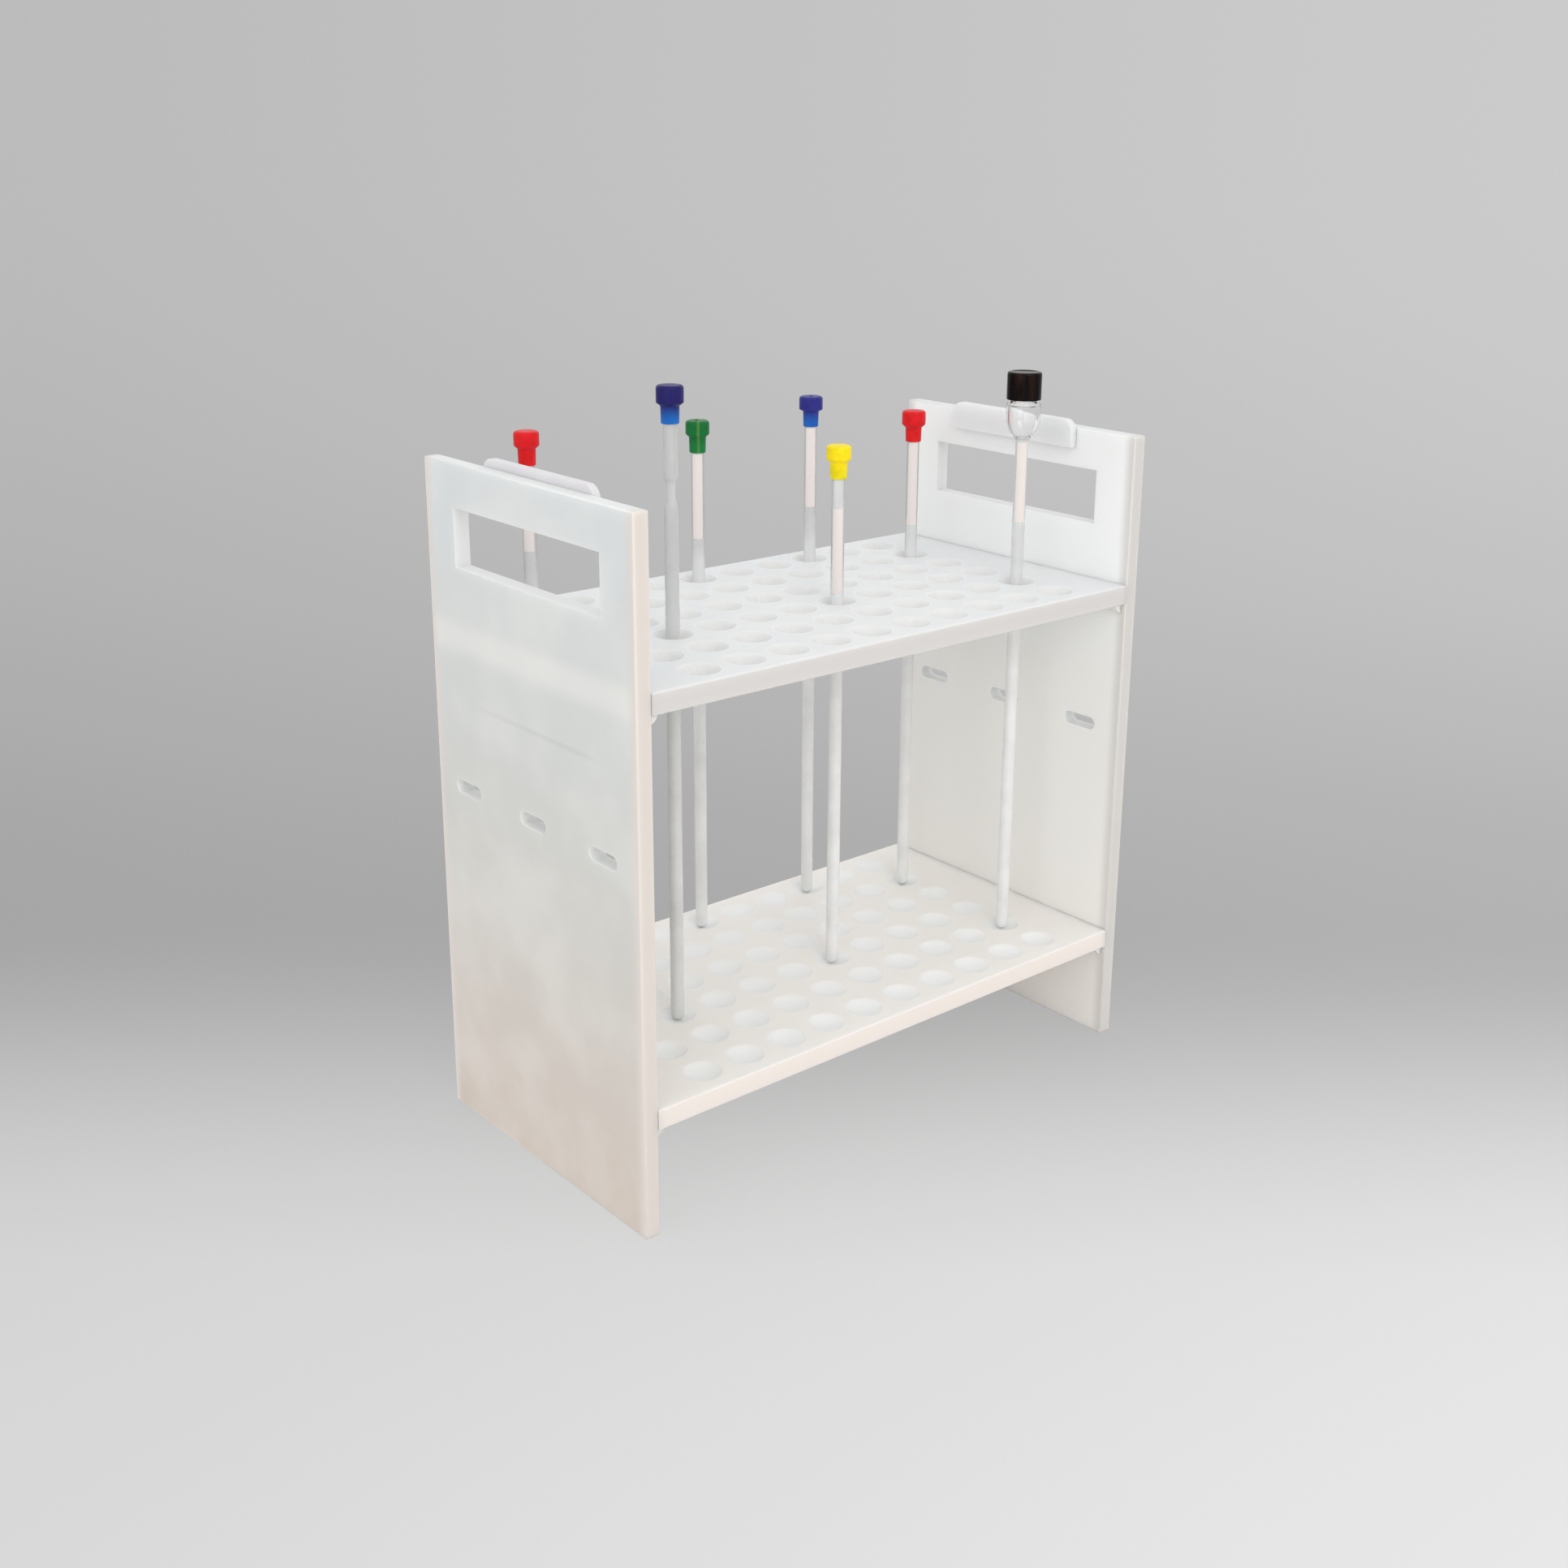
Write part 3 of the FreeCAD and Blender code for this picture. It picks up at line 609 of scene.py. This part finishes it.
def marking_spot(name, at, spot):
    """A patch of enamel on the side of the tube that is turned to the front."""
    mesh = bmesh.new()
    reach = (TUBE + MARK_LIFT) * MM
    low = bmesh.ops.create_vert(mesh, co=(reach, 0, spot[0] * MM))["vert"][0]
    rise = bmesh.ops.extrude_vert_indiv(mesh, verts=[low])
    rise["verts"][0].co.z = spot[1] * MM
    start = Matrix.Rotation(FRONT_TURN - math.pi / 2 - MARK_ARC / 2, 3, "Z")
    bmesh.ops.rotate(mesh, verts=mesh.verts, matrix=start, cent=(0, 0, 0))
    bmesh.ops.spin(mesh, geom=mesh.verts[:] + mesh.edges[:], cent=(0, 0, 0), axis=(0, 0, 1),
                   angle=MARK_ARC, steps=MARK_STEPS)
    bmesh.ops.recalc_face_normals(mesh, faces=mesh.faces)
    bmesh.ops.solidify(mesh, geom=mesh.faces[:], thickness=MARK_THICK * MM)
    bmesh.ops.recalc_face_normals(mesh, faces=mesh.faces)
    place_piece(mesh, f"{name}_marking_spot", "rack", enamel, at, smooth=30)


for tube_name, (glass_length, spot_ends) in STRAIGHT_TUBES.items():
    straight_tube(tube_name, glass_length, spot_ends)

# the tall tube is drawn in to a waist below its cap
WAIST_LOW, WAIST_HIGH, WAIST_DIP = 192.15, 203.05, 0.92
NECK_LOW, NECK_HIGH = 195.6, 200.2
TALL_LENGTH = 230.2
# the curve into the waist: shares of its depth at shares of its height
WAIST_CURVE = ((0, 0), (0.12, 0.25), (0.5, 0.5), (0.88, 0.75), (1, 1))


def half_waist(radius, low, high):
    """The section's points from the full radius at low to the neck at high, in a soft S."""
    return [(radius - dip * WAIST_DIP, low + rise * (high - low)) for dip, rise in WAIST_CURVE]


def waist(radius):
    """The waist's section from its low end up."""
    return half_waist(radius, WAIST_LOW, NECK_LOW) + half_waist(radius, WAIST_HIGH, NECK_HIGH)[::-1]


tall = turned(foot_to_rim(waist(BORE) + [(BORE, TALL_LENGTH), (TUBE, TALL_LENGTH)]
                          + waist(TUBE)[::-1]))
place_piece(tall, "tall_blue_tube_glass", "rack", waisted_glass,
            axis_of("tall_blue_tube"), ("tall_blue_tube",), smooth=50)

# the screw-neck tube: stem, fused ring, blown shoulder, head and threaded finish
RING, RING_LOW, RING_TOP = 3.3, 203.4, 204.8
HEAD, HEAD_WALL, SHOULDER_TOP, HEAD_TOP = 6.6, 1.4, 211.4, 217.6
FINISH_CORE, FINISH_REACH, MOUTH, RIM = 4.95, 5.5, 4.3, 226.4
RING_SLOPE, HEAD_CHAMFER, FINISH_FILLET = 0.7, 0.6, 0.4
neck_at = axis_of("screw_neck_tube")


def bowl(low_radius, high_radius):
    """Centre radius and angle of the shoulder's arc, which ends upright at its top."""
    rise = SHOULDER_TOP - RING_TOP
    centre = (high_radius ** 2 - low_radius ** 2 - rise ** 2) / (2 * (high_radius - low_radius))
    return centre, math.degrees(math.atan2(rise, low_radius - centre))


outer_centre, outer_turn = bowl(RING, HEAD)
inner_centre, inner_turn = bowl(BORE, HEAD - HEAD_WALL)
neck = turned([
    (0, WALL), (0, TUBE, 90),
    (BORE, RING_TOP),
    (inner_centre, SHOULDER_TOP, inner_turn),
    (HEAD - HEAD_WALL, HEAD_TOP - HEAD_WALL),
    (MOUTH, HEAD_TOP), (MOUTH, RIM), (FINISH_CORE, RIM), (FINISH_CORE, HEAD_TOP + FINISH_FILLET),
    (HEAD - HEAD_CHAMFER, HEAD_TOP), (HEAD, HEAD_TOP - HEAD_CHAMFER),
    (HEAD, SHOULDER_TOP),
    (outer_centre, SHOULDER_TOP, -outer_turn),
    (RING, RING_LOW + RING_SLOPE), (TUBE, RING_LOW), (TUBE, TUBE), (0, TUBE, -90),
])
soften(neck, 0.25, degrees=30)
place_piece(neck, "screw_neck_tube_glass", "rack", glass, neck_at,
            ("screw_neck_tube",), smooth=40)

marking_spot("screw_neck", neck_at, (171.5, 202.5))

THREAD_LEAD, THREAD_TURNS, THREAD_STEPS, THREAD_RISE = 3.175, 1.5, 96, 2.6
# the thread's section: its root in the glass, its crest, and the crest's and the root's ends
THREAD_ROOT, THREAD_CREST = FINISH_CORE - 0.1, FINISH_REACH - 0.12
CREST_LOW, CREST_TOP, ROOT_TOP = 0.55, 0.95, 1.5
thread = bmesh.new()
thread_low = HEAD_TOP + THREAD_RISE
bead = bmesh.ops.create_vert(thread, co=Vector((THREAD_ROOT, 0, thread_low)) * MM)["vert"][0]
bead = run_to(thread, bead, THREAD_CREST, thread_low + CREST_LOW)
bead = run_to(thread, bead, THREAD_CREST, thread_low + CREST_TOP)
run_to(thread, bead, THREAD_ROOT, thread_low + ROOT_TOP)
bmesh.ops.contextual_create(thread, geom=thread.verts[:])
bmesh.ops.spin(
    thread, geom=thread.faces[:], cent=(0, 0, 0), axis=(0, 0, 1),
    dvec=(0, 0, THREAD_LEAD * THREAD_TURNS / THREAD_STEPS * MM),
    angle=math.tau * THREAD_TURNS, steps=THREAD_STEPS)
bmesh.ops.recalc_face_normals(thread, faces=thread.faces)
place_piece(thread, "screw_neck_thread", "rack", glass, neck_at, smooth=50)


# Caps

CAP_BORE, CAP_ROOF, CAP_ROUNDING, DRAFT = 2.54, 3.9, 1.1, 0.15
# the bore's lead-in: its width and its height; the flat top's margin; the rounded rim's turn
LEAD_WIDTH, LEAD_HEIGHT = 0.2, 0.25
TOP_MARGIN = 1.9
RIM_TURN = 77.4
# the dish around a gate's mark falls by these two depths, and the mark's top has this share
DISH_EDGE, DISH_MIDDLE, NUB_TOP = 0.1, 0.05, 0.4
PLAIN, FLARED, SHORT, TALL = (
    dict(length=12.2, head=5.1, lip=1.45, wall=0.56, chamfer=1.2),
    dict(length=12.5, head=5.5, lip=1.65, wall=0.6, chamfer=1.4),
    dict(length=12.0, head=5.2, lip=1.7, wall=0.45, chamfer=0.8),
    dict(length=12.9, head=5.9, lip=1.6, wall=0.56, chamfer=1.1),
)


def push_cap(name, slot, material, length, head, lip, wall, chamfer, nub=None):
    """A moulded cap over the glass; nub is the (radius, height) of the gate's mark on its top."""
    node = f"{name}_cap"
    skirt = CAP_BORE + wall
    reach = skirt + lip
    top = [(reach - TOP_MARGIN, length), (0, length)]
    if nub:
        top = [(reach - TOP_MARGIN, length - DISH_EDGE), (nub[0], length - DISH_MIDDLE),
               (nub[0] * NUB_TOP, length + nub[1]), (0, length + nub[1])]
    mesh = turned([
        (0, length - CAP_ROOF), (CAP_BORE, length - CAP_ROOF), (CAP_BORE, LEAD_HEIGHT),
        (CAP_BORE + LEAD_WIDTH, 0), (skirt, 0), (skirt + DRAFT, length - head - chamfer),
        (reach, length - head), (reach, length - CAP_ROUNDING),
        (reach - CAP_ROUNDING, length - CAP_ROUNDING, RIM_TURN),
        *top,
    ])
    soften(mesh, 0.22, degrees=25)
    place_piece(mesh, f"{node}_moulding", f"{node}_body", material, axis_of(node), (node,),
                smooth=40)


red = cap_material("polyethylene_moulded_red", "#DD141B", "#E01A1B", 250, 244)
red_right = cap_material("polyethylene_moulded_red_flared", "#DD141B", "#DE1718", 248, 241)
blue_tall = cap_material("polyethylene_moulded_blue_tall", "#1D1862", "#1668C0", 273.5, 267)
blue_short = cap_material("polyethylene_moulded_blue_short", "#2A2B84", "#1562BE", 254.5, 248)
green_at = axis_of("green_cap")
green = cap_material("polyethylene_moulded_green", "#066C32", "#127B3B", 250, 243,
                     painted_highlight=("#7DA64A", green_at.x, green_at.y))
yellow = cap_material("polyethylene_moulded_yellow", "#FBE20E", "#F0DF0C", 246, 240)
push_cap("left_red", "red_cap_plastic", red, **PLAIN)
push_cap("tall_blue", "blue_cap_plastic", blue_tall, **TALL)
push_cap("green", "green_cap_plastic", green, nub=(1.3, 0.45), **PLAIN)
push_cap("yellow", "yellow_cap_plastic", yellow, **PLAIN)
push_cap("short_blue", "blue_cap_plastic", blue_short, nub=(1.0, 0.3), **SHORT)
push_cap("right_red", "red_cap_plastic", red_right, nub=(2.6, 0.12), **FLARED)

LINER, LINER_THICK = 5.4, 1.4
liner = soften(turned([(0, 0), (LINER, 0), (LINER, LINER_THICK), (0, LINER_THICK)]), 0.12)
place_piece(liner, "screw_cap_liner_disc", "liner_body", liner_material(),
            axis_of("screw_cap_liner"), ("screw_cap_liner",))

SCREW_BORE, SCREW_REACH, SCREW_HEIGHT, SCREW_ROOF, SCREW_ROUND = 5.56, 6.6, 10.5, 1.5, 0.9
# the top is dished inside a rim: the rim's two distances from the edge, and the dish's depth
RIM_OUTER, RIM_INNER, SCREW_DISH = 1.7, 1.9, 0.12
shell = soften(turned([
    (0, SCREW_HEIGHT - SCREW_ROOF), (SCREW_BORE, SCREW_HEIGHT - SCREW_ROOF),
    (SCREW_BORE, 0), (SCREW_REACH, 0), (SCREW_REACH, SCREW_HEIGHT - SCREW_ROUND),
    (SCREW_REACH - SCREW_ROUND, SCREW_HEIGHT - SCREW_ROUND, 90),
    (SCREW_REACH - RIM_OUTER, SCREW_HEIGHT), (SCREW_REACH - RIM_INNER, SCREW_HEIGHT - SCREW_DISH),
    (0, SCREW_HEIGHT - SCREW_DISH),
]), 0.15, degrees=50)
place_piece(shell, "screw_cap_shell", "screw_cap_body", black_cap_material(),
            axis_of("screw_cap"), ("screw_cap",), smooth=40)


# Floor, light and camera

# the photograph's camera: its stand, its turns in radians, its lens and its picture's shift
CAMERA_AT = Vector((-0.43471, -0.51016, 0.36246))
AZIMUTH, ELEVATION, ROLL = -0.7231, 0.2941, 0.0128
LENS, SENSOR = 42.376, 36
SHIFT = (-0.02945, -0.06284)
FAR_CLIP = 100
FLOOR_REACH = 20
# the floor's tone (0 to 255) at a distance in metres past the object's middle, from the camera
FLOOR_TONES = (
    (-0.30, 226), (-0.14, 220), (-0.09, 214), (-0.04, 204), (0.02, 188), (0.09, 173),
    (0.17, 172), (0.40, 180), (0.76, 187), (1.44, 192), (3.20, 195), (9.00, 196),
)
# a logarithm of the distance spreads the near tones along the ramp, from this many metres
FIRST_STEP = 0.4
SKY_TONE = "#C4C4C4"
SKY_FILL = 0.84
# the tone of the light that the floor sends back to the object
BOUNCE_TONE = "#EFECE9"
# how much of the floor's tone is its own glow, under the object and far from it
NEAR_GLOW, FAR_GLOW = 0.86, 1.0
GLOW_REACH = (0.35, 0.9)
# the studio is a little brighter to the right: the tones' factors at the view's left and right
SIDE_LIGHT = (0.9, 1.1)
SIDE_REACH = 0.4
OBJECT_MIDDLE = Vector((0, 0, 0.14))


def grey(tone):
    """The neutral colour of a tone from 0 to 255."""
    return hex_colour("#" + f"{tone:02X}" * 3)


def side_light(tree, direction):
    """The factor on the backdrop's tone in a direction from the camera's stand."""
    right = (math.cos(AZIMUTH), math.sin(AZIMUTH), 0)
    sideways = add_node(tree, "VectorMath", [direction, right], operation="DOT_PRODUCT", out="Value")
    return add_node(tree, "MapRange", [sideways, -SIDE_REACH, SIDE_REACH, *SIDE_LIGHT])


def floor_material():
    """A seamless studio sheet, pale in front and grey behind the object: the studio's uneven light
    painted into its tones.
    """
    material, tree, place, _ = start_material("studio_floor_paper")
    forward = (-math.sin(AZIMUTH), math.cos(AZIMUTH), 0)
    ahead = add_node(tree, "VectorMath", [place, forward], operation="DOT_PRODUCT", out="Value")
    near, far = FLOOR_TONES[0][0], FLOOR_TONES[-1][0]
    spread = add_node(tree, "Math", [ahead, FIRST_STEP - near], operation="ADD")
    clipped = add_node(tree, "Math", [spread, FIRST_STEP], operation="MAXIMUM")
    power = add_node(tree, "Math", [clipped, 10.0], operation="LOGARITHM")
    lowest, highest = math.log10(FIRST_STEP), math.log10(FIRST_STEP - near + far)
    along = add_node(tree, "MapRange", [power, lowest, highest])
    tone = add_node(tree, "ValToRGB", [along])
    ramp = tone.node.color_ramp
    ramp.interpolation = "B_SPLINE"
    for _ in FLOOR_TONES[2:]:
        ramp.elements.new(0.5)
    for element, (distance, level) in zip(ramp.elements, FLOOR_TONES):
        element.position = (math.log10(FIRST_STEP - near + distance) - lowest) / (highest - lowest)
        element.color = grey(level)
    ray = add_node(tree, "LightPath", out=None)
    seen = add_node(tree, "Math", [ray["Is Camera Ray"], ray["Is Glossy Ray"]], operation="MAXIMUM")
    seen = add_node(tree, "Math", [seen, ray["Is Transmission Ray"]], operation="MAXIMUM")
    surface = add_node(tree, "Mix", {FACTOR: seen, LOW: hex_colour(BOUNCE_TONE), HIGH: tone},
                       **COLOURS)
    paper = add_node(tree, "BsdfDiffuse", [surface])
    from_stand = add_node(tree, "VectorMath", [place, CAMERA_AT], operation="SUBTRACT")
    direction = add_node(tree, "VectorMath", [from_stand], operation="NORMALIZE")
    glow = add_node(tree, "Emission", [tone, side_light(tree, direction)])
    away = add_node(tree, "VectorMath", [place], operation="LENGTH", out="Value")
    glowing = add_node(tree, "MapRange", [away, *GLOW_REACH, NEAR_GLOW, FAR_GLOW], **SMOOTH)
    share = add_node(tree, "Math", [seen, glowing], operation="MULTIPLY")
    end_material(tree, add_node(tree, "MixShader", [share, paper, glow]))
    return material


def studio_floor():
    """The sheet of paper that the object stands on."""
    mesh = bmesh.new()
    bmesh.ops.create_grid(mesh, x_segments=1, y_segments=1, size=FLOOR_REACH)
    data = bpy.data.meshes.new("studio_floor")
    mesh.to_mesh(data)
    mesh.free()
    data.materials.append(floor_material())
    floor = bpy.data.objects.new("studio_floor", data)
    bpy.context.scene.collection.objects.link(floor)


def sky():
    """A backdrop that fills the object's shade with white light and shows grey itself."""
    world = bpy.data.worlds.new("studio")
    world.use_nodes = True
    tree = world.node_tree
    tree.nodes.clear()
    ray = add_node(tree, "LightPath", out=None)
    seen = add_node(tree, "Math", [ray["Is Camera Ray"], ray["Is Transmission Ray"]],
                    operation="MAXIMUM")
    fill = add_node(tree, "Background", [hex_colour("#FFFFFF"), SKY_FILL])
    direction = add_node(tree, "TexCoord", out="Generated")
    wall = add_node(tree, "Background", [hex_colour(SKY_TONE), side_light(tree, direction)])
    light = add_node(tree, "MixShader", [seen, fill, wall])
    add_node(tree, "OutputWorld", {"Surface": light}, out=None)
    bpy.context.scene.world = world


def soft_lamp(name, at, size, watts, colour):
    """A square lamp that looks at the object's middle."""
    data = bpy.data.lights.new(name, "AREA")
    data.shape = "SQUARE"
    data.size = size
    data.energy = watts
    data.color = hex_colour(colour)[:3]
    lamp = bpy.data.objects.new(name, data)
    lamp.location = at
    lamp.rotation_euler = (OBJECT_MIDDLE - Vector(at)).to_track_quat("-Z", "Y").to_euler()
    bpy.context.scene.collection.objects.link(lamp)


def photo_camera():
    """The camera that took the photograph, as it was solved from the rack's corners."""
    data = bpy.data.cameras.new("photo_camera")
    data.lens = LENS
    data.sensor_width = SENSOR
    data.shift_x, data.shift_y = SHIFT
    data.clip_end = FAR_CLIP
    back = Vector((math.sin(AZIMUTH) * math.cos(ELEVATION),
                   -math.cos(AZIMUTH) * math.cos(ELEVATION), math.sin(ELEVATION)))
    right = Vector((math.cos(AZIMUTH), math.sin(AZIMUTH), 0))
    up = back.cross(right)
    level = Matrix((right, up, back)).transposed()
    camera = bpy.data.objects.new("photo_camera", data)
    camera.matrix_world = (Matrix.Translation(CAMERA_AT)
                           @ (level @ Matrix.Rotation(ROLL, 3, "Z")).to_4x4())
    bpy.context.scene.collection.objects.link(camera)
    bpy.context.scene.camera = camera


studio_floor()
sky()
soft_lamp("front_lamp", (-0.45, -1.55, 1.15), 1.0, 8, "#FFF9F4")
soft_lamp("top_lamp", (0.1, 0.3, 1.7), 1.4, 2, "#F6FAFF")
soft_lamp("left_lamp", (-1.5, -0.6, 0.5), 1.0, 3, "#F8FBFF")
photo_camera()
bpy.context.scene.view_settings.view_transform = "Standard"
